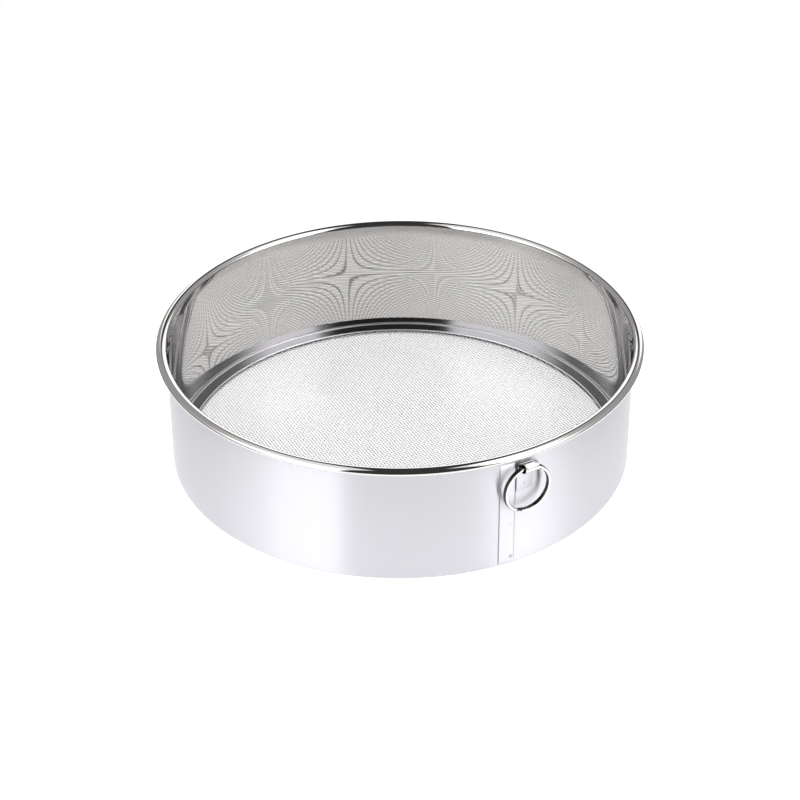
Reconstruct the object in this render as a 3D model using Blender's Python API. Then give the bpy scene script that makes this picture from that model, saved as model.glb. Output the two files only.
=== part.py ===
"""Round hand sieve: a rolled sheet hoop with a curled rim, woven cloth and a hanging ring."""
import math

import bmesh
import bpy
from mathutils import Matrix, Vector

MM = 0.001

# Hoop: one strip of stainless sheet, rolled and lapped
SHEET = 0.5            # sheet thickness
WALL_RADIUS = 100.85   # outside of the straight wall
HEIGHT = 56.6          # floor to top of the rim
CURL_RADIUS = 1.9      # outside radius of the curl
CURL_SWEEP = 300.0     # how far the edge is curled round, degrees
RIM_FLARE = 1.15       # how far the wall leans outward below the curl
FLARE_HEIGHT = 11.0    # height of that gentle lean, below the curl centre
BEND_RADIUS = 1.2      # bottom corner, at mid sheet
FLANGE_WIDTH = 8.6     # inturned bottom flange, from the wall's outside
LAP_AZIMUTH = 23.25    # free edge of the outer sheet, degrees right of the front
LAP_WIDTH = 6.4        # overlap of the two sheet ends
LAP_RAMP = 0.8         # length of the step that brings the outer sheet back in
SLIT = 0.45            # butt gap in the rim and in the flange
LAP_FADE = 2.5         # height over which the lap dies out, top and bottom
TAB_INSET = 1.0        # inner sheet's tab, short of the full lap at both ends

# Clearances between neighbouring pieces
GAP = 0.3
RIM_CLEARANCE = 0.3

# Sieve cloth: one open grid stands for the fine weave
CLOTH_THICKNESS = 0.6
CLOTH_PITCH = 13.34
CLOTH_WIRE = 0.55
CLOTH_TURN = 27.0
HEM_WIDTH = 6.6        # edge of the cloth held under the clamp ring

# Clamp ring: half-oval bar inside the hoop, with a thin lip on top of the cloth
CLAMP_WIDTH = 5.3
CLAMP_HEIGHT = 2.0
LIP_WIDTH = 3.4
LIP_THICKNESS = 0.4

# Ring strap: folded sheet eye with a tail welded to the wall
STRAP_LAP_GAP = 1.15   # from the lap's step to the side of the strap
STRAP_SHEET = 0.4
STRAP_WIDTH = 7.6
EYE_CLEARANCE = 0.2    # round the ring where it passes through the eye
EYE_RIM_GAP = 2.45     # from the rim's underside down to the folded eye
EYE_SWEEP = 310.0
TAIL_DROP = 12.5

# Hanging ring: two-turn split ring
RING_RADIUS = 11.2
RING_RADIAL = 1.25
RING_AXIAL = 0.8
RING_TURN_GAP = 0.2
RING_CHAMFER = 0.2
RING_END = -106.0      # free end of the front turn, degrees from +X
RING_TURN = 330.0
RING_JOG = 30.0

STATIONS = 72

for old in list(bpy.data.objects):
    bpy.data.objects.remove(old, do_unlink=True)


def finish_object(name, bm, origin, colour, roughness):
    """Move the mesh so that its origin sits at the reference point, and give it a material."""
    bmesh.ops.recalc_face_normals(bm, faces=bm.faces)
    bmesh.ops.scale(bm, verts=bm.verts, vec=Vector((MM, MM, MM)))
    place = Vector(origin) * MM
    bmesh.ops.translate(bm, verts=bm.verts, vec=-place)
    mesh = bpy.data.meshes.new(name)
    bm.to_mesh(mesh)
    bm.free()
    item = bpy.data.objects.new(name, mesh)
    item.location = place
    bpy.context.collection.objects.link(item)
    steel = bpy.data.materials.new(name + "_steel")
    steel.use_nodes = True
    shader = steel.node_tree.nodes["Principled BSDF"]
    shader.inputs["Base Color"].default_value = (colour[0], colour[1], colour[2], 1.0)
    shader.inputs["Metallic"].default_value = 1.0
    shader.inputs["Roughness"].default_value = roughness
    mesh.materials.append(steel)
    return item


def polyline(bm, points):
    """Chain of edges through the given points."""
    verts = [bm.verts.new(p) for p in points]
    return [bm.edges.new(pair) for pair in zip(verts, verts[1:])]


def polygon(bm, points):
    """Closed loop of edges through the given points."""
    verts = [bm.verts.new(p) for p in points]
    return [bm.edges.new(pair) for pair in zip(verts, verts[1:] + verts[:1])]


def spin(bm, edges, degrees, steps, centre=(0, 0, 0), axis=(0, 0, 1), shift=(0, 0, 0)):
    """Spin edges about an axis and give back the edges at the far end."""
    done = bmesh.ops.spin(
        bm, geom=edges, cent=Vector(centre), axis=Vector(axis), dvec=Vector(shift),
        angle=math.radians(degrees), steps=steps, use_duplicate=False)
    return [g for g in done["geom_last"] if isinstance(g, bmesh.types.BMEdge)]


def solidify(item, thickness):
    """Turn a mid-surface into sheet of even thickness."""
    sheet = item.modifiers.new("sheet", "SOLIDIFY")
    sheet.thickness = thickness * MM
    sheet.offset = 0.0
    sheet.use_even_offset = True
    sheet.use_quality_normals = True
    sheet.use_rim = True


def around(azimuth):
    """Turn from the front of the sieve to the given azimuth."""
    return Matrix.Rotation(math.radians(azimuth), 4, "Z")


# Hoop wall: mid-surface profile, spun from one sheet end to the other
mid_radius = WALL_RADIUS - SHEET / 2
curl_mid = CURL_RADIUS - SHEET / 2
curl_r = mid_radius + RIM_FLARE + curl_mid
curl_z = HEIGHT - CURL_RADIUS
flare_z = curl_z - FLARE_HEIGHT
bend_top = SHEET / 2 + BEND_RADIUS
lap_low = bend_top + LAP_FADE
lap_high = curl_z - CURL_RADIUS - LAP_FADE
tab_low = lap_low + TAB_INSET
tab_high = lap_high - TAB_INSET


def flare_out(z):
    """How far the wall has leaned outward at a height."""
    s = min(max((z - flare_z) / FLARE_HEIGHT, 0.0), 1.0)
    return RIM_FLARE * s * s * (3 - 2 * s)


profile = [(WALL_RADIUS - FLANGE_WIDTH, SHEET / 2)]
for step in range(4):
    turn = math.radians(-90 + 30 * step)
    profile.append((mid_radius - BEND_RADIUS + BEND_RADIUS * math.cos(turn),
                    bend_top + BEND_RADIUS * math.sin(turn)))
for level in sorted((lap_low, tab_low, tab_high, lap_high, flare_z, flare_z + FLARE_HEIGHT / 4,
                     flare_z + FLARE_HEIGHT / 2)):
    profile.append((mid_radius + flare_out(level), level))
curl_steps = round(CURL_SWEEP / 30)
for step in range(curl_steps + 1):
    turn = math.radians(180 - CURL_SWEEP * step / curl_steps)
    profile.append((curl_r + curl_mid * math.cos(turn), curl_z + curl_mid * math.sin(turn)))

lap_turn = math.degrees(LAP_WIDTH / WALL_RADIUS)
ramp_turn = math.degrees(LAP_RAMP / WALL_RADIUS)
slit_turn = math.degrees(SLIT / WALL_RADIUS)
bm = bmesh.new()
start = polyline(bm, [(0, -r, z) for r, z in profile])
first = [v for e in start for v in e.verts]
lap_edges = spin(bm, start, lap_turn, 1)
second = [v for e in lap_edges for v in e.verts]
for v in set(first + second):
    if lap_low - 0.01 < v.co.z < lap_high + 0.01:
        outward = Vector((v.co.x, v.co.y, 0)).normalized()
        v.co += outward * (SHEET + GAP)
ramp_profile = polyline(bm, [around(lap_turn + ramp_turn) @ Vector((0, -r, z)) for r, z in profile])
bmesh.ops.bridge_loops(bm, edges=lap_edges + ramp_profile)
end = spin(bm, ramp_profile, 360 - lap_turn - ramp_turn - slit_turn, STATIONS)
tab = [e for e in end if min(v.co.z for v in e.verts) > tab_low - 0.01
       and max(v.co.z for v in e.verts) < tab_high + 0.01]
grown = bmesh.ops.extrude_edge_only(bm, edges=tab)
tab_verts = [g for g in grown["geom"] if isinstance(g, bmesh.types.BMVert)]
bmesh.ops.rotate(bm, verts=tab_verts, cent=Vector((0, 0, 0)),
                 matrix=Matrix.Rotation(math.radians(slit_turn + lap_turn * 0.85), 3, "Z"))
bmesh.ops.transform(bm, matrix=around(LAP_AZIMUTH), verts=bm.verts)
hoop = finish_object("hoop_wall", bm, (0, 0, 0), (0.72, 0.72, 0.73), 0.18)
solidify(hoop, SHEET)

# Rim wire: round wire that the top edge is curled over
wire_r = CURL_RADIUS - SHEET - RIM_CLEARANCE
bm = bmesh.new()
section = [(0, -curl_r + wire_r * math.cos(math.radians(45 * k)),
            curl_z + wire_r * math.sin(math.radians(45 * k))) for k in range(8)]
spin(bm, polygon(bm, section), 360, STATIONS)
bmesh.ops.remove_doubles(bm, verts=bm.verts, dist=0.001)
finish_object("rim_wire", bm, (0, 0, curl_z), (0.6, 0.6, 0.6), 0.35)

# Sieve cloth: square grid trimmed to a disc and joined to its clamped edge
cloth_z = SHEET + GAP
inner_wall = WALL_RADIUS - SHEET
hem_out = inner_wall - BEND_RADIUS / 2
lines = []
reach = math.ceil(hem_out / CLOTH_PITCH)
for k in range(-reach, reach):
    lines.append((k + 0.5) * CLOTH_PITCH - CLOTH_WIRE / 2)
    lines.append((k + 0.5) * CLOTH_PITCH + CLOTH_WIRE / 2)
bm = bmesh.new()
knots = [[bm.verts.new((x, y, cloth_z + 0.05)) for y in lines] for x in lines]
for i in range(len(lines) - 1):
    for j in range(len(lines) - 1):
        if i % 2 == 0 or j % 2 == 0:
            bm.faces.new((knots[i][j], knots[i + 1][j], knots[i + 1][j + 1], knots[i][j + 1]))
grown = bmesh.ops.extrude_face_region(bm, geom=bm.faces[:])
bmesh.ops.translate(bm, vec=Vector((0, 0, CLOTH_THICKNESS - 0.1)),
                    verts=[g for g in grown["geom"] if isinstance(g, bmesh.types.BMVert)])
bmesh.ops.transform(bm, matrix=around(CLOTH_TURN), verts=bm.verts)
cloth = finish_object("sieve_cloth", bm, (0, 0, cloth_z), (0.7, 0.7, 0.7), 0.3)

bm = bmesh.new()
bmesh.ops.create_cone(bm, cap_ends=True, segments=STATIONS, radius1=hem_out - HEM_WIDTH / 2,
                      radius2=hem_out - HEM_WIDTH / 2, depth=CLOTH_THICKNESS * 4,
                      matrix=Matrix.Translation((0, 0, cloth_z)))
trim = finish_object("cloth_trim", bm, (0, 0, cloth_z), (0.5, 0.5, 0.5), 0.5)

bm = bmesh.new()
hem = [(hem_out - HEM_WIDTH, cloth_z), (hem_out, cloth_z),
       (hem_out, cloth_z + CLOTH_THICKNESS), (hem_out - HEM_WIDTH, cloth_z + CLOTH_THICKNESS)]
spin(bm, polygon(bm, [(0, -r, z) for r, z in hem]), 360, STATIONS)
bmesh.ops.remove_doubles(bm, verts=bm.verts, dist=0.001)
edge_band = finish_object("cloth_edge", bm, (0, 0, cloth_z), (0.5, 0.5, 0.5), 0.5)

for helper, operation in ((trim, "INTERSECT"), (edge_band, "UNION")):
    cut = cloth.modifiers.new(helper.name, "BOOLEAN")
    cut.operation = operation
    cut.solver = "EXACT"
    cut.object = helper
    helper.hide_render = True
    helper.display_type = "WIRE"

# Clamp ring: half-oval bar whose lip presses the cloth's edge onto the flange
clamp_z = cloth_z + CLOTH_THICKNESS + GAP
clamp_out = inner_wall - GAP
clamp_mid = clamp_out - CLAMP_WIDTH / 2
bm = bmesh.new()
lip_in = clamp_out - CLAMP_WIDTH - LIP_WIDTH
lip_turn = 180 - math.degrees(math.asin(LIP_THICKNESS / CLAMP_HEIGHT))
dome = [(clamp_mid + CLAMP_WIDTH / 2 * math.cos(math.radians(lip_turn * k / 9)),
         clamp_z + CLAMP_HEIGHT * math.sin(math.radians(lip_turn * k / 9))) for k in range(10)]
dome += [(lip_in, clamp_z + LIP_THICKNESS), (lip_in, clamp_z)]
spin(bm, polygon(bm, [(0, -r, z) for r, z in dome]), 360, STATIONS)
bmesh.ops.remove_doubles(bm, verts=bm.verts, dist=0.001)
finish_object("clamp_ring", bm, (0, 0, clamp_z), (0.72, 0.72, 0.73), 0.15)

# Ring strap: sheet folded round the eye, its tail flat on the wall. The eye clears the flare
# and the ring's bow over the strap's width, and the ring passes through the middle of it.
strap_turn = LAP_AZIMUTH + lap_turn + ramp_turn
strap_turn += math.degrees((STRAP_LAP_GAP + STRAP_WIDTH / 2) / WALL_RADIUS)
ring_inner = RING_RADIUS - RING_RADIAL
bow = RING_RADIUS - math.sqrt(ring_inner ** 2 - (STRAP_WIDTH / 2) ** 2)
eye_radius = math.hypot(bow / 2, RING_AXIAL + RING_TURN_GAP / 2) + EYE_CLEARANCE
eye_z = HEIGHT - 2 * CURL_RADIUS - EYE_RIM_GAP - STRAP_SHEET - eye_radius
eye_out = WALL_RADIUS + flare_out(eye_z + eye_radius) + GAP + STRAP_SHEET + eye_radius
fold = eye_radius + STRAP_SHEET / 2
path = [(WALL_RADIUS + GAP + STRAP_SHEET / 2, eye_z - TAIL_DROP)]
for k in range(21):
    turn = math.radians(180 - EYE_SWEEP * k / 20)
    path.append((eye_out + fold * math.cos(turn), eye_z + fold * math.sin(turn)))
bm = bmesh.new()
side = polyline(bm, [(-STRAP_WIDTH / 2, -r, z) for r, z in path])
grown = bmesh.ops.extrude_edge_only(bm, edges=side)
bmesh.ops.translate(bm, vec=Vector((STRAP_WIDTH, 0, 0)),
                    verts=[g for g in grown["geom"] if isinstance(g, bmesh.types.BMVert)])
bmesh.ops.transform(bm, matrix=around(strap_turn), verts=bm.verts)
eye = around(strap_turn) @ Vector((0, -eye_out, eye_z))
strap = finish_object("ring_strap", bm, eye, (0.75, 0.75, 0.76), 0.15)
solidify(strap, STRAP_SHEET)

# Hanging ring: flat wire wound twice round, stepping from the front turn to the back one
ring_z = eye_z - RING_RADIUS + bow / 2
lead = RING_AXIAL + RING_TURN_GAP
half_r = RING_RADIAL / 2
half_a = RING_AXIAL / 2
mean_r = RING_RADIUS - half_r
corner = RING_CHAMFER
section = [(half_r - corner, -half_a), (half_r, corner - half_a), (half_r, half_a - corner),
           (half_r - corner, half_a), (corner - half_r, half_a), (-half_r, half_a - corner),
           (-half_r, corner - half_a), (corner - half_r, -half_a)]
bm = bmesh.new()
front = polygon(bm, [(mean_r + a, -lead / 2 + b, 0) for a, b in section])
bm.faces.new([e.verts[0] for e in front])
turn_steps = 44
jog_steps = 5
hub = (0, 0, 0)
out = (0, -1, 0)
far = spin(bm, front, RING_TURN, turn_steps, hub, out)
for k in range(jog_steps):
    s0 = k / jog_steps
    s1 = (k + 1) / jog_steps
    rise = lead * (s1 * s1 * (3 - 2 * s1) - s0 * s0 * (3 - 2 * s0))
    far = spin(bm, far, RING_JOG / jog_steps, 1, hub, out, (0, rise, 0))
far = spin(bm, far, RING_TURN, turn_steps, hub, out)
bmesh.ops.contextual_create(bm, geom=far)
swing = Matrix.Rotation(math.radians(-RING_END), 4, "Y")
bmesh.ops.transform(bm, matrix=swing, verts=bm.verts)
place = around(strap_turn) @ Matrix.Translation((0, -eye_out, ring_z))
bmesh.ops.transform(bm, matrix=place, verts=bm.verts)
finish_object("hanging_ring", bm, eye, (0.78, 0.78, 0.78), 0.12)
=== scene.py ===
import math

import bmesh
import bpy
import numpy as np
from mathutils import Matrix, Vector


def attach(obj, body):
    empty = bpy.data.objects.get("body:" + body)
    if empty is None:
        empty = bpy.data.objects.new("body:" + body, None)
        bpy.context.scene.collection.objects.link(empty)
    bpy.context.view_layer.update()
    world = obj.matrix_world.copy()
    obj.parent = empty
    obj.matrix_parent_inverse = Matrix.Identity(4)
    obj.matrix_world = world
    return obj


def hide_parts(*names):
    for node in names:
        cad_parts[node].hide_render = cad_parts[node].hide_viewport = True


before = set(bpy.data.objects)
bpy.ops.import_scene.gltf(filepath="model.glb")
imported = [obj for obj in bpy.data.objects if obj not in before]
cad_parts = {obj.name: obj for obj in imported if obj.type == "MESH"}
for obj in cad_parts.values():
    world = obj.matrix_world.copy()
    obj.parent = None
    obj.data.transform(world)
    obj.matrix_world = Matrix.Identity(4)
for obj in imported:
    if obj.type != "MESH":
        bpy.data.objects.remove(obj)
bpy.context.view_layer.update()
scene = bpy.context.scene
scene.view_settings.view_transform = "Standard"

# Camera: a short telephoto view from the front, about 33 degrees above the table.
# It stands about a metre from the sieve.
lens_length = 101.504
camera_place = (-0.0001, -0.83587, 0.55991)
camera_dip = 32.736
camera_roll = -0.296
camera = bpy.data.objects.new("camera", bpy.data.cameras.new("camera"))
scene.collection.objects.link(camera)
camera.data.sensor_width = 36.0
camera.data.lens = lens_length
camera.matrix_world = (Matrix.Translation(camera_place)
                       @ Matrix.Rotation(math.radians(90 - camera_dip), 4, "X")
                       @ Matrix.Rotation(math.radians(camera_roll), 4, "Z"))
camera.data.clip_start = 0.01
camera.data.clip_end = 20.0
scene.camera = camera

# Surroundings: two soft boxes left and right with a dark gap between them, where the camera
# stands, and a white backdrop behind. The camera itself sees plain white.
world = bpy.data.worlds.new("light_tent")
scene.world = world
world.use_nodes = True
tree = world.node_tree
tree.nodes.clear()
coords = tree.nodes.new("ShaderNodeTexCoord")
split = tree.nodes.new("ShaderNodeSeparateXYZ")
tree.links.new(coords.outputs["Generated"], split.inputs[0])


def math_node(tree, operation, *feeds):
    node = tree.nodes.new("ShaderNodeMath")
    node.operation = operation
    for socket, feed in zip(node.inputs, feeds):
        if isinstance(feed, float):
            socket.default_value = feed
        else:
            tree.links.new(feed, socket)
    return node.outputs[0]


def tent_layer(tree, mask, under, level):
    layer = tree.nodes.new("ShaderNodeMix")
    layer.data_type = "RGBA"
    layer.inputs["B"].default_value = (level, level, level, 1.0)
    tree.links.new(mask, layer.inputs["Factor"])
    tree.links.new(under, layer.inputs["A"])
    return layer.outputs["Result"]


def tent_edge(tree, source, start, end, fade):
    edge = tree.nodes.new("ShaderNodeMapRange")
    edge.interpolation_type = fade
    edge.inputs["From Min"].default_value = start
    edge.inputs["From Max"].default_value = end
    tree.links.new(source, edge.inputs["Value"])
    return edge.outputs["Result"]


side_level = 0.13
front_level = 0.2
overhead_level = 0.34
gap_level = 0.015
backdrop_level = 0.53
ground_level = 0.085
tent_strength = 3.42
front = math_node(tree, "MULTIPLY", split.outputs["Y"], -1.0)
azimuth = math_node(tree, "ARCTAN2", split.outputs["X"], front)
compass = tent_edge(tree, azimuth, -math.pi, math.pi, "LINEAR")
rings = []
for left_wide, left_dim, left_full, right_full, right_dim, right_wide in (
        (-100, -66, -56, 64, 84, 104), (-124, -96, -74, 72, 94, 124)):
    stops = [(-180, side_level), (left_wide, side_level), (left_dim, front_level), (left_full, 1.0),
             (-20, 1.0), (20, front_level), (42, front_level), (45, 1.0), (right_full, 1.0),
             (right_dim, front_level), (right_wide, side_level), (180, side_level)]
    boxes = tree.nodes.new("ShaderNodeValToRGB")
    tree.links.new(compass, boxes.inputs["Fac"])
    ramp = boxes.color_ramp.elements
    while len(ramp) > 1:
        ramp.remove(ramp[-1])
    for k, (degrees, level) in enumerate(stops):
        stop = ramp[0] if k == 0 else ramp.new((degrees + 180) / 360)
        stop.position = (degrees + 180) / 360
        stop.color = (level, level, level, 1.0)
    rings.append(boxes.outputs["Color"])
wider = tree.nodes.new("ShaderNodeMix")
wider.data_type = "RGBA"
tree.links.new(tent_edge(tree, split.outputs["Z"], 0.12, 0.42, "SMOOTHSTEP"), wider.inputs["Factor"])
tree.links.new(rings[0], wider.inputs["A"])
tree.links.new(rings[1], wider.inputs["B"])
overhead = tent_edge(tree, split.outputs["Z"], 0.70, 0.92, "SMOOTHSTEP")
above = tent_layer(tree, overhead, wider.outputs["Result"], overhead_level)
toward = math_node(tree, "MAXIMUM", front, 0.0)
inside = []
for side, opening, spread in ((1.0, 0.10, 0.377), (-1.0, 0.17, 0.507)):
    border = math_node(tree, "MULTIPLY_ADD", toward, spread, opening)
    past = math_node(tree, "MULTIPLY_ADD", split.outputs["X"], side, border)
    inside.append(tent_edge(tree, past, -0.02, 0.02, "LINEAR"))
parted = tent_layer(tree, math_node(tree, "MULTIPLY", *inside), above, gap_level)
behind = tent_edge(tree, split.outputs["Y"], 0.30, 0.50, "SMOOTHSTEP")
for axis, start, end in (("Z", 0.52, 0.46), ("X", -0.30, -0.22), ("X", 0.54, 0.46)):
    within = tent_edge(tree, split.outputs[axis], start, end, "SMOOTHSTEP")
    behind = math_node(tree, "MULTIPLY", behind, within)
backed = tent_layer(tree, behind, parted, backdrop_level)
low = tent_edge(tree, split.outputs["Z"], -0.01, -0.05, "LINEAR")
ground = tent_layer(tree, low, backed, ground_level)
lit = tree.nodes.new("ShaderNodeBackground")
lit.inputs["Strength"].default_value = tent_strength
tree.links.new(ground, lit.inputs["Color"])
plain = tree.nodes.new("ShaderNodeBackground")
plain.inputs["Color"].default_value = (1.0, 1.0, 1.0, 1.0)
plain.inputs["Strength"].default_value = 1.0
path = tree.nodes.new("ShaderNodeLightPath")
pick = tree.nodes.new("ShaderNodeMixShader")
tree.links.new(path.outputs["Is Camera Ray"], pick.inputs["Fac"])
tree.links.new(lit.outputs[0], pick.inputs[1])
tree.links.new(plain.outputs[0], pick.inputs[2])
out = tree.nodes.new("ShaderNodeOutputWorld")
tree.links.new(pick.outputs[0], out.inputs["Surface"])

# Table: a white sheet that ends a little in front of the sieve and keeps its soft shadow.
# What the camera and the bright metal see of it is lifted to white.
table_half_width = 0.195
table_half_depth = 0.32
table_middle = -0.01
table_lift = 0.6
bm = bmesh.new()
bmesh.ops.create_grid(bm, x_segments=1, y_segments=1, size=1.0)
spread_out = Matrix.Diagonal((table_half_width, table_half_depth, 1, 1))
bmesh.ops.transform(bm, matrix=Matrix.Translation((0, table_middle, 0)) @ spread_out, verts=bm.verts)
mesh = bpy.data.meshes.new("table")
bm.to_mesh(mesh)
bm.free()
table = bpy.data.objects.new("table", mesh)
scene.collection.objects.link(table)
paper = bpy.data.materials.new("white_paper")
paper.use_nodes = True
tree = paper.node_tree
shader = tree.nodes["Principled BSDF"]
shader.inputs["Base Color"].default_value = (0.92, 0.92, 0.92, 1.0)
shader.inputs["Roughness"].default_value = 0.9
shader.inputs["Specular IOR Level"].default_value = 0.0
shader.inputs["Emission Color"].default_value = (1.0, 1.0, 1.0, 1.0)
path = tree.nodes.new("ShaderNodeLightPath")
seen = math_node(tree, "MAXIMUM", path.outputs["Is Camera Ray"], path.outputs["Is Glossy Ray"])
any_view = math_node(tree, "MAXIMUM", seen, path.outputs["Is Transmission Ray"])
tree.links.new(math_node(tree, "MULTIPLY", any_view, table_lift), shader.inputs["Emission Strength"])
mesh.materials.append(paper)

# Overhead lamp: a soft panel above and to the right of the table.
# It is weak beside the light tent and only firms up the shadow.
lamp = bpy.data.objects.new("panel_lamp", bpy.data.lights.new("panel_lamp", "AREA"))
lamp.data.shape = "RECTANGLE"
lamp.data.size = 0.5
lamp.data.size_y = 0.5
lamp.data.energy = 2.0
lamp.location = (0.6, 0.1, 1.3)
lamp.rotation_euler = (math.radians(-4), math.radians(25), 0.0)
scene.collection.objects.link(lamp)

# Hoop wall: one strip of bright stainless sheet rolled round, its ends lapped and spot-welded.
# The top edge is curled outward, the bottom edge is turned in as a flange under the cloth.
mm = 0.001
sheet = 0.5
rim_height = 56.6
curl_radius = 1.65
curl_across = 2.325
curl_sweep = 300.0
wall_radius = 100.85
rim_flare = 0.3
flare_height = 5.0
flare_bend = 3.0
bend_radius = 1.2
flange_width = 6.5
lap_azimuth = 23.25
lap_width = 6.4
lap_ramp = 0.8
lap_lift = 0.08
lap_low = 1.6
lap_low_fade = 0.9
lap_high = 50.2
lap_high_fade = 1.2
tab_low = 2.99
tab_high = 48.8
tab_share = 0.9
slit = 0.1
mid_radius = wall_radius - sheet / 2
curl_mid = curl_radius - sheet / 2
curl_wide = curl_across - sheet / 2
curl_out = mid_radius + rim_flare + curl_wide
curl_level = rim_height - curl_radius
flare_level = curl_level - flare_height
bend_top = sheet / 2 + bend_radius
profile = [(wall_radius - flange_width, sheet / 2), (wall_radius - flange_width / 2, sheet / 2)]
for k in range(9):
    angle = math.radians(-90 + 90 * k / 8)
    profile.append((mid_radius - bend_radius + bend_radius * math.cos(angle),
                    bend_top + bend_radius * math.sin(angle)))
for height in (2.0, 2.5, 3.0, 10.0, 20.0, 30.0, 40.0, 48.0):
    profile.append((mid_radius, height))
for k in range(32):
    up = flare_height * k / 32
    gain = up * up / (2 * flare_bend) if up < flare_bend else up - flare_bend / 2
    profile.append((mid_radius + rim_flare * gain / (flare_height - flare_bend / 2), flare_level + up))
for k in range(31):
    angle = math.radians(180 - curl_sweep * k / 30)
    profile.append((curl_out + curl_wide * math.cos(angle), curl_level + curl_mid * math.sin(angle)))
lap_turn = math.degrees(lap_width / wall_radius)
ramp_turn = math.degrees(lap_ramp / wall_radius)
slit_turn = math.degrees(slit / wall_radius)
turns = list(np.linspace(0, lap_turn, 6)) + list(lap_turn + np.linspace(0, ramp_turn, 7)[1:])
turns += list(np.linspace(lap_turn + ramp_turn, 360 - slit_turn, 480)[1:])
whole = len(turns)
turns += list(np.linspace(360 - slit_turn, 360 + lap_turn * tab_share, 6)[1:])
verts = []
for turn in turns:
    step = min(max((lap_turn + ramp_turn - turn) / ramp_turn, 0.0), 1.0)
    step = (sheet + lap_lift) * step * step * (3 - 2 * step)
    angle = math.radians(lap_azimuth + turn)
    for radius, height in profile:
        fade = (min(max((height - lap_low) / lap_low_fade, 0.0), 1.0)
                * min(max((lap_high - height) / lap_high_fade, 0.0), 1.0))
        reach = radius + step * fade
        verts.append((reach * math.sin(angle) * mm, -reach * math.cos(angle) * mm, height * mm))
across = len(profile)
tab_rows = [k for k in range(across - 1)
            if profile[k][1] >= tab_low and profile[k + 1][1] <= tab_high]
faces = []
for i in range(len(turns) - 1):
    for k in range(across - 1) if i < whole - 1 else tab_rows:
        corner = i * across + k
        faces.append((corner, corner + 1, corner + 1 + across, corner + across))
mesh = bpy.data.meshes.new("hoop_sheet")
mesh.from_pydata(verts, [], faces)
bm = bmesh.new()
bm.from_mesh(mesh)
bmesh.ops.delete(bm, geom=[v for v in bm.verts if not v.link_faces], context="VERTS")
bm.to_mesh(mesh)
bm.free()
flat = bpy.data.objects.new("hoop_flat", mesh)
scene.collection.objects.link(flat)


def steel_finish(name, colour, grain_round, grain_up, smoothest, roughest, detail=2.0):
    finish = bpy.data.materials.new(name)
    finish.use_nodes = True
    tree = finish.node_tree
    shader = tree.nodes["Principled BSDF"]
    shader.inputs["Metallic"].default_value = 1.0
    shader.inputs["Base Color"].default_value = (*colour, 1.0)
    coords = tree.nodes.new("ShaderNodeTexCoord")
    stretch = tree.nodes.new("ShaderNodeMapping")
    stretch.inputs["Scale"].default_value = (grain_round, grain_round, grain_up)
    tree.links.new(coords.outputs["Object"], stretch.inputs["Vector"])
    grain = tree.nodes.new("ShaderNodeTexNoise")
    grain.inputs["Scale"].default_value = 1.0
    grain.inputs["Detail"].default_value = detail
    tree.links.new(stretch.outputs[0], grain.inputs["Vector"])
    rough = tree.nodes.new("ShaderNodeMapRange")
    rough.inputs["To Min"].default_value = smoothest
    rough.inputs["To Max"].default_value = roughest
    tree.links.new(grain.outputs["Fac"], rough.inputs["Value"])
    tree.links.new(rough.outputs["Result"], shader.inputs["Roughness"])
    return finish


bright = steel_finish("bright_stainless", (0.645, 0.632, 0.622), 40.0, 1500.0, 0.01, 0.02)
satin_colour = (0.585, 0.585, 0.617)
weld_colour = (0.03, 0.03, 0.03)
satin = steel_finish("satin_stainless", satin_colour, 60.0, 5000.0, 0.28, 0.30, detail=3.0)
tree = satin.node_tree
shader = tree.nodes["Principled BSDF"]
shader.inputs["Anisotropic"].default_value = 1.0
shader.inputs["Anisotropic Rotation"].default_value = 0.25
tangent = tree.nodes.new("ShaderNodeTangent")
tangent.direction_type = "RADIAL"
tangent.axis = "Z"
tree.links.new(tangent.outputs[0], shader.inputs["Tangent"])
coords = tree.nodes.new("ShaderNodeTexCoord")
welds = ((26.3, 101.4, 4.5, 1.3, 0.45), (26.2, 101.4, 20.8, 1.0, 0.12), (29.6, 101.3, 39.2, 0.9, 0.35))
marks = None
for degrees, radius, height, size, depth in welds:
    angle = math.radians(degrees)
    away = tree.nodes.new("ShaderNodeVectorMath")
    away.operation = "DISTANCE"
    away.inputs[1].default_value = Vector((radius * math.sin(angle), -radius * math.cos(angle), height)) * mm
    tree.links.new(coords.outputs["Object"], away.inputs[0])
    spot = tree.nodes.new("ShaderNodeMapRange")
    spot.interpolation_type = "SMOOTHSTEP"
    spot.inputs["From Min"].default_value = 0.25 * size * mm
    spot.inputs["From Max"].default_value = size * mm
    spot.inputs["To Min"].default_value = 1.0 - depth
    spot.inputs["To Max"].default_value = 1.0
    tree.links.new(away.outputs["Value"], spot.inputs["Value"])
    marks = spot.outputs[0] if marks is None else math_node(tree, "MULTIPLY", marks, spot.outputs[0])
spotted = tree.nodes.new("ShaderNodeMix")
spotted.data_type = "RGBA"
spotted.inputs["A"].default_value = (*weld_colour, 1.0)
spotted.inputs["B"].default_value = (*satin_colour, 1.0)
tree.links.new(marks, spotted.inputs["Factor"])
tree.links.new(spotted.outputs["Result"], shader.inputs["Base Color"])

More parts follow.
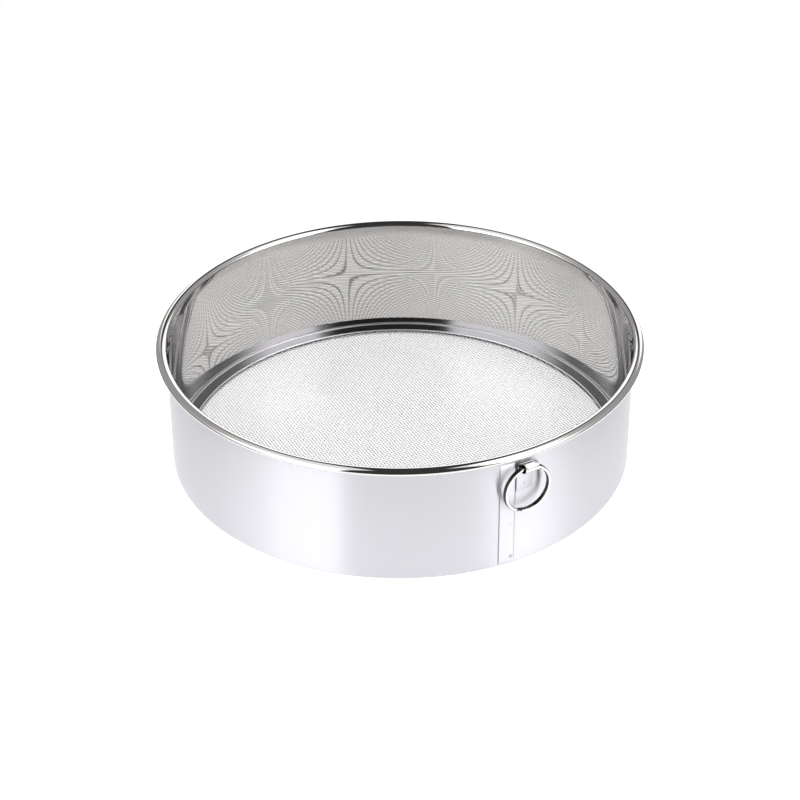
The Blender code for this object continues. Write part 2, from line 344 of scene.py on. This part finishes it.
mesh.materials.append(bright)
mesh.materials.append(satin)
thick = flat.modifiers.new("sheet", "SOLIDIFY")
thick.thickness = sheet * mm
thick.offset = 0.0
thick.use_even_offset = True
thick.use_quality_normals = True
thick.material_offset = 1
thick.material_offset_rim = 1
bpy.context.view_layer.update()
solid = bpy.data.meshes.new_from_object(flat.evaluated_get(bpy.context.evaluated_depsgraph_get()))
bpy.data.objects.remove(flat)
solid.shade_smooth()
solid.set_sharp_from_angle(angle=math.radians(35))
for face in solid.polygons:
    if face.center.z > (curl_level - curl_radius + 0.1) * mm:
        face.material_index = 0
hoop = bpy.data.objects.new("hoop", solid)
scene.collection.objects.link(hoop)
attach(hoop, "sieve")
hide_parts("hoop_wall")

# Rim wire: plain drawn steel wire that the hoop's top edge is curled over.
# The curl holds it and hides it, and it keeps the rim stiff.
drawn = steel_finish("drawn_wire", (0.5, 0.5, 0.5), 900.0, 900.0, 0.3, 0.5)
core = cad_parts["rim_wire"]
core.data.materials.clear()
core.data.materials.append(drawn)

# Sieve cloth: plain-woven stainless wire, stretched flat and held at its edge under the clamp ring.
# Each wire runs over one crossing wire and under the next.
pitch = 1.316
wire_radius = 0.16
cloth_radius = 98.9
cloth_middle = 1.1
cloth_turn = 27.0
half_count = math.floor(cloth_radius / pitch)
wire_steel = steel_finish("cloth_wire", (0.63, 0.63, 0.63), 300.0, 300.0, 0.34, 0.44)

# The tree sets out rows of points, waves them up and down, trims them round and draws the wires.
weave = bpy.data.node_groups.new("weave", "GeometryNodeTree")
weave.interface.new_socket("Geometry", in_out="INPUT", socket_type="NodeSocketGeometry")
for name, kind in (("Pitch", "Float"), ("Wire radius", "Float"), ("Cloth radius", "Float"),
                   ("Reach", "Int"), ("Wires", "Int"), ("First wire", "Float"),
                   ("Phase", "Float")):
    weave.interface.new_socket(name, in_out="INPUT", socket_type="NodeSocket" + kind)
weave.interface.new_socket("Steel", in_out="INPUT", socket_type="NodeSocketMaterial")
weave.interface.new_socket("Geometry", in_out="OUTPUT", socket_type="NodeSocketGeometry")
nodes = weave.nodes
links = weave.links
given = nodes.new("NodeGroupInput")
result = nodes.new("NodeGroupOutput")
grid = nodes.new("GeometryNodeMeshGrid")
length = math_node(weave, "MULTIPLY", given.outputs["Reach"], given.outputs["Pitch"])
links.new(math_node(weave, "MULTIPLY", length, 2.0), grid.inputs["Size X"])
links.new(math_node(weave, "MULTIPLY_ADD", given.outputs["Reach"], 4.0, 1.0), grid.inputs["Vertices X"])
links.new(given.outputs["Wires"], grid.inputs["Vertices Y"])
spaces = math_node(weave, "SUBTRACT", given.outputs["Wires"], 1.0)
links.new(math_node(weave, "MULTIPLY", spaces, given.outputs["Pitch"]), grid.inputs["Size Y"])
centre = math_node(weave, "MULTIPLY_ADD", spaces, 0.5, given.outputs["First wire"])
shift = math_node(weave, "MULTIPLY", centre, given.outputs["Pitch"])
sideways = nodes.new("ShaderNodeCombineXYZ")
links.new(shift, sideways.inputs["Y"])
moved = nodes.new("GeometryNodeSetPosition")
links.new(grid.outputs["Mesh"], moved.inputs["Geometry"])
links.new(sideways.outputs[0], moved.inputs["Offset"])
place = nodes.new("GeometryNodeInputPosition")
flat_sum = nodes.new("ShaderNodeSeparateXYZ")
links.new(place.outputs[0], flat_sum.inputs[0])
along_both = math_node(weave, "ADD", flat_sum.outputs["X"], flat_sum.outputs["Y"])
count = math_node(weave, "DIVIDE", along_both, given.outputs["Pitch"])
phased = math_node(weave, "ADD", count, given.outputs["Phase"])
wave = math_node(weave, "COSINE", math_node(weave, "MULTIPLY", phased, math.pi))
crimp = math_node(weave, "MULTIPLY", wave, given.outputs["Wire radius"])
rise = nodes.new("ShaderNodeCombineXYZ")
links.new(crimp, rise.inputs["Z"])
crimped = nodes.new("GeometryNodeSetPosition")
links.new(moved.outputs[0], crimped.inputs["Geometry"])
links.new(rise.outputs[0], crimped.inputs["Offset"])
reach = nodes.new("ShaderNodeVectorMath")
reach.operation = "LENGTH"
links.new(place.outputs[0], reach.inputs[0])
beyond = nodes.new("FunctionNodeCompare")
beyond.data_type = "FLOAT"
beyond.operation = "GREATER_THAN"
links.new(reach.outputs["Value"], beyond.inputs["A"])
links.new(given.outputs["Cloth radius"], beyond.inputs["B"])
trimmed = nodes.new("GeometryNodeDeleteGeometry")
trimmed.domain = "POINT"
links.new(crimped.outputs[0], trimmed.inputs["Geometry"])
links.new(beyond.outputs[0], trimmed.inputs["Selection"])
ends = nodes.new("GeometryNodeInputMeshEdgeVertices")
along = nodes.new("ShaderNodeVectorMath")
along.operation = "SUBTRACT"
links.new(ends.outputs["Position 1"], along.inputs[0])
links.new(ends.outputs["Position 2"], along.inputs[1])
parts = nodes.new("ShaderNodeSeparateXYZ")
links.new(along.outputs[0], parts.inputs[0])
apart = math_node(weave, "ABSOLUTE", parts.outputs["Y"])
quarter = math_node(weave, "MULTIPLY", given.outputs["Pitch"], 0.25)
crossing = nodes.new("FunctionNodeCompare")
crossing.data_type = "FLOAT"
crossing.operation = "GREATER_THAN"
links.new(apart, crossing.inputs["A"])
links.new(quarter, crossing.inputs["B"])
strands = nodes.new("GeometryNodeDeleteGeometry")
strands.domain = "EDGE"
strands.mode = "EDGE_FACE"
links.new(trimmed.outputs[0], strands.inputs["Geometry"])
links.new(crossing.outputs[0], strands.inputs["Selection"])
curves = nodes.new("GeometryNodeMeshToCurve")
links.new(strands.outputs[0], curves.inputs["Mesh"])
section = nodes.new("GeometryNodeCurvePrimitiveCircle")
section.inputs["Resolution"].default_value = 6
links.new(given.outputs["Wire radius"], section.inputs["Radius"])
drawn_wires = nodes.new("GeometryNodeCurveToMesh")
links.new(curves.outputs[0], drawn_wires.inputs["Curve"])
links.new(section.outputs["Curve"], drawn_wires.inputs["Profile Curve"])
smooth = nodes.new("GeometryNodeSetShadeSmooth")
links.new(drawn_wires.outputs[0], smooth.inputs["Geometry"])
real = nodes.new("GeometryNodeRealizeInstances")
links.new(smooth.outputs[0], real.inputs[0])
coated = nodes.new("GeometryNodeSetMaterial")
links.new(real.outputs[0], coated.inputs["Geometry"])
links.new(given.outputs["Steel"], coated.inputs["Material"])
links.new(coated.outputs[0], result.inputs[0])

sockets = {item.name: item.identifier for item in weave.interface.items_tree
           if item.in_out == "INPUT"}
bands = 3
total = 2 * half_count + 1
for family, phase in (("warp", 0.0), ("weft", 1.0)):
    for band in range(bands):
        first = -half_count + band * total // bands
        last = -half_count + (band + 1) * total // bands
        seed_mesh = bpy.data.meshes.new("strand_seed")
        holder = bpy.data.objects.new("strand_holder", seed_mesh)
        scene.collection.objects.link(holder)
        weaver = holder.modifiers.new("weave", "NODES")
        weaver.node_group = weave
        weaver[sockets["Pitch"]] = pitch * mm
        weaver[sockets["Wire radius"]] = wire_radius * mm
        weaver[sockets["Cloth radius"]] = cloth_radius * mm
        weaver[sockets["Reach"]] = half_count
        weaver[sockets["Wires"]] = last - first
        weaver[sockets["First wire"]] = float(first)
        weaver[sockets["Phase"]] = phase
        weaver[sockets["Steel"]] = wire_steel
        bpy.context.view_layer.update()
        ready = holder.evaluated_get(bpy.context.evaluated_depsgraph_get())
        woven = bpy.data.meshes.new_from_object(ready)
        bpy.data.objects.remove(holder)
        turned = Matrix.Translation((0, 0, cloth_middle * mm)) @ Matrix.Rotation(
            math.radians(cloth_turn + (90 if family == "weft" else 0)), 4, "Z")
        woven.transform(turned)
        strand = bpy.data.objects.new("cloth_" + family + "_" + str(band + 1), woven)
        scene.collection.objects.link(strand)
        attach(strand, "sieve")
        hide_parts("sieve_cloth")

# Clamp ring: a polished flat bar pressed into the hoop, nearly level on top, with a dulled outer
# corner against the wall and a rounded inner edge. It holds the cloth's edge down on the flange.
clamp_out = 100.2
corner_height = 2.45
flat_out = 99.35
flat_height = 2.25
flat_in = 94.75
edge_height = 2.1
clamp_in = 94.25
clamp_low = 1.46
clamp_steps = 480
dome = [(clamp_out, clamp_low), (clamp_out, corner_height - 0.12), (clamp_out - 0.12, corner_height),
        (clamp_out - 0.45, corner_height - 0.06), (flat_out + 0.25, flat_height + 0.06)]
for k in range(7):
    share = k / 6
    dome.append((flat_out + (flat_in - flat_out) * share,
                 flat_height + (edge_height - flat_height) * share))
dome += [(flat_in - 0.18, edge_height - 0.05), (flat_in - 0.34, edge_height - 0.15),
         (clamp_in + 0.04, edge_height - 0.31), (clamp_in, edge_height - 0.5), (clamp_in, clamp_low)]
bm = bmesh.new()
loop = [bm.verts.new((0, -r * mm, z * mm)) for r, z in dome]
edges = [bm.edges.new(pair) for pair in zip(loop, loop[1:] + loop[:1])]
bmesh.ops.spin(bm, geom=edges, cent=(0, 0, 0), axis=(0, 0, 1), angle=math.radians(360),
               steps=clamp_steps)
bmesh.ops.remove_doubles(bm, verts=bm.verts, dist=1e-7)
bmesh.ops.recalc_face_normals(bm, faces=bm.faces)
mesh = bpy.data.meshes.new("clamp_bar")
bm.to_mesh(mesh)
bm.free()
mesh.shade_smooth()
mesh.set_sharp_from_angle(angle=math.radians(50))
# The bar's flat top and the foot of its inner side are painted dark steel, a painted dark reflection; the
# corner and edge rounds keep a light brushed steel.
polished_painted_dark = steel_finish("polished_bar_painted_dark", (0.25, 0.25, 0.27), 120.0, 120.0, 0.18, 0.24)
brushed = steel_finish("brushed_bar", (0.72, 0.715, 0.72), 300.0, 300.0, 0.40, 0.50)
mesh.materials.append(polished_painted_dark)
mesh.materials.append(brushed)
# Faces on the flat and the lower inner side take the painted dark reflection, the rest the brushed steel.
for face in mesh.polygons:
    reach = math.hypot(face.center.x, face.center.y) / mm
    level = flat_in < reach < flat_out
    inner_side = reach < flat_in and face.center.z / mm < edge_height - 0.4
    face.material_index = 0 if level or inner_side else 1
clamp = bpy.data.objects.new("clamp_bar", mesh)
scene.collection.objects.link(clamp)
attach(clamp, "sieve")
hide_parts("clamp_ring")

# Ring strap: a strip of polished stainless sheet folded round into an eye below the rim.
# Its tail lies flat on the hoop beside the lap seam and is spot-welded there.
strap_azimuth = 30.153
strap_sheet = 0.24
strap_width = 7.6
eye_radius = 2.05
eye_height = 48.403
eye_sweep = 310.0
tail_drop = 12.5
tail_gap = 0.01
tail_bend = 4.0
satin_below = 3.0
strap_cut = 1.2
cut_start = 0.4
strap_edge = 0.08
strap_shift = -0.9
eye_out = 103.789
fold = eye_radius + strap_sheet / 2
line = []
for drop in (tail_drop, tail_bend):
    line.append((wall_radius + tail_gap + strap_sheet / 2, eye_height - drop))
for k in range(49):
    angle = math.radians(180 - eye_sweep * k / 48)
    line.append((eye_out + fold * math.cos(angle), eye_height + fold * math.sin(angle)))
bm = bmesh.new()
chain = [bm.verts.new(((strap_shift - strap_width / 2) * mm, -r * mm, z * mm)) for r, z in line]
edges = [bm.edges.new(pair) for pair in zip(chain, chain[1:])]
grown = bmesh.ops.extrude_edge_only(bm, edges=edges)
bmesh.ops.translate(bm, vec=Vector((strap_width * mm, 0, 0)),
                    verts=[g for g in grown["geom"] if isinstance(g, bmesh.types.BMVert)])
for vert in chain:
    share = (-vert.co.y / mm - wall_radius - cut_start) / (2 * fold - 2 * cut_start)
    vert.co.x += strap_cut * mm * min(max(share, 0.0), 1.0)
bmesh.ops.transform(bm, matrix=Matrix.Rotation(math.radians(strap_azimuth), 4, "Z"), verts=bm.verts)
mesh = bpy.data.meshes.new("strap_sheet")
bm.to_mesh(mesh)
bm.free()
flat = bpy.data.objects.new("strap_flat", mesh)
scene.collection.objects.link(flat)
thick = flat.modifiers.new("sheet", "SOLIDIFY")
thick.thickness = strap_sheet * mm
thick.offset = 0.0
thick.use_even_offset = True
soft = flat.modifiers.new("edges", "BEVEL")
soft.width = strap_edge * mm
soft.segments = 2
soft.limit_method = "ANGLE"
soft.angle_limit = math.radians(50)
bpy.context.view_layer.update()
solid = bpy.data.meshes.new_from_object(flat.evaluated_get(bpy.context.evaluated_depsgraph_get()))
bpy.data.objects.remove(flat)
solid.shade_smooth()
solid.set_sharp_from_angle(angle=math.radians(40))
eye_steel = steel_finish("strap_steel", (0.72, 0.715, 0.71), 400.0, 400.0, 0.10, 0.2)
# Near-black copy of the strap steel for the inside of the eye: painted shade and painted dark reflection,
# not a real scale.
eye_painted_shade = steel_finish("strap_inside_painted_shade", (0.06, 0.058, 0.055), 600.0, 600.0, 0.35, 0.5)
solid.materials.clear()
solid.materials.append(eye_steel)
solid.materials.append(eye_painted_shade)
solid.materials.append(satin)
turned = Matrix.Rotation(math.radians(-strap_azimuth), 3, "Z")
# Faces on the inside of the eye take the near-black painted shade; faces below the eye take the hoop's
# satin.
for face in solid.polygons:
    middle = turned @ face.center
    reach = math.hypot(-middle.y / mm - eye_out, middle.z / mm - eye_height)
    if reach < eye_radius + 0.05:
        face.material_index = 1
    elif middle.z / mm < eye_height - satin_below:
        face.material_index = 2
strap = bpy.data.objects.new("strap_eye", solid)
scene.collection.objects.link(strap)
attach(strap, "sieve")
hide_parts("ring_strap")

# Hanging ring: bright plated spring wire of flat section, wound twice round as a split ring.
# It is threaded through the strap's eye and swings there freely.
ring_radius = 11.05
ring_radial = 1.4
ring_axial = 0.86
ring_gap = 0.3
ring_drop = 10.05
ring_shift = -1.3
ring_end = -106.0
ring_corner = 0.42
cross_start = 330
cross_end = 360
ring_turn = 690
lead = ring_axial + ring_gap
ring_mean = ring_radius - ring_radial / 2
outline = []
for side_out, side_along, start in ((1, 1, 0), (-1, 1, 90), (-1, -1, 180), (1, -1, 270)):
    for k in range(4):
        angle = math.radians(start + 30 * k)
        outline.append((side_out * (ring_radial / 2 - ring_corner) + ring_corner * math.cos(angle),
                        side_along * (ring_axial / 2 - ring_corner) + ring_corner * math.sin(angle)))
verts = []
stations = list(np.linspace(0, cross_start, 111)) + list(np.linspace(cross_start, cross_end, 13)[1:])
stations += list(np.linspace(cross_end, ring_turn, 111)[1:])
for station in stations:
    share = min(max((station - cross_start) / (cross_end - cross_start), 0.0), 1.0)
    depth = lead * (share * share * (3 - 2 * share) - 0.5)
    angle = math.radians(ring_end + station)
    for outward, sideways in outline:
        reach = ring_mean + outward
        verts.append((reach * math.cos(angle) * mm, (depth + sideways) * mm, reach * math.sin(angle) * mm))
sides = len(outline)
faces = [tuple(range(sides)), tuple(range(len(verts) - 1, len(verts) - sides - 1, -1))]
for i in range(len(stations) - 1):
    for k in range(sides):
        corner = i * sides + k
        beside = i * sides + (k + 1) % sides
        faces.append((corner, beside, beside + sides, corner + sides))
mesh = bpy.data.meshes.new("split_ring")
mesh.from_pydata(verts, [], faces)
bm = bmesh.new()
bm.from_mesh(mesh)
bmesh.ops.recalc_face_normals(bm, faces=bm.faces)
bm.to_mesh(mesh)
bm.free()
# The ring's round inner and outer faces and the faces between its two turns are painted near-black: painted
# dark reflection on the round faces, painted shade between the turns.
shaded = []
for face in mesh.polygons:
    middle = Vector((face.center.x, 0, face.center.z)).normalized()
    inward = abs(face.normal.dot(middle)) > 0.6
    between = abs(face.center.y) / mm < ring_gap / 2 + 0.12 and abs(face.normal.y) > 0.3
    shaded.append(1 if inward or between else 0)
mesh.transform(Matrix.Rotation(math.radians(strap_azimuth), 4, "Z") @ Matrix.Translation(
    (ring_shift * mm, -eye_out * mm, (eye_height - ring_drop) * mm)))
mesh.shade_smooth()
mesh.set_sharp_from_angle(angle=math.radians(50))
plated = steel_finish("bright_plating", (0.75, 0.745, 0.735), 700.0, 700.0, 0.04, 0.14)
# Near-black copy of the plating that carries that painted dark reflection and shade.
ring_painted_dark = steel_finish("ring_inside_painted_dark", (0.07, 0.068, 0.065), 700.0, 700.0, 0.2, 0.35)
mesh.materials.append(plated)
mesh.materials.append(ring_painted_dark)
for face, dark in zip(mesh.polygons, shaded):
    face.material_index = dark
ring = bpy.data.objects.new("split_ring", mesh)
scene.collection.objects.link(ring)
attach(ring, "ring")
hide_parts("hanging_ring")
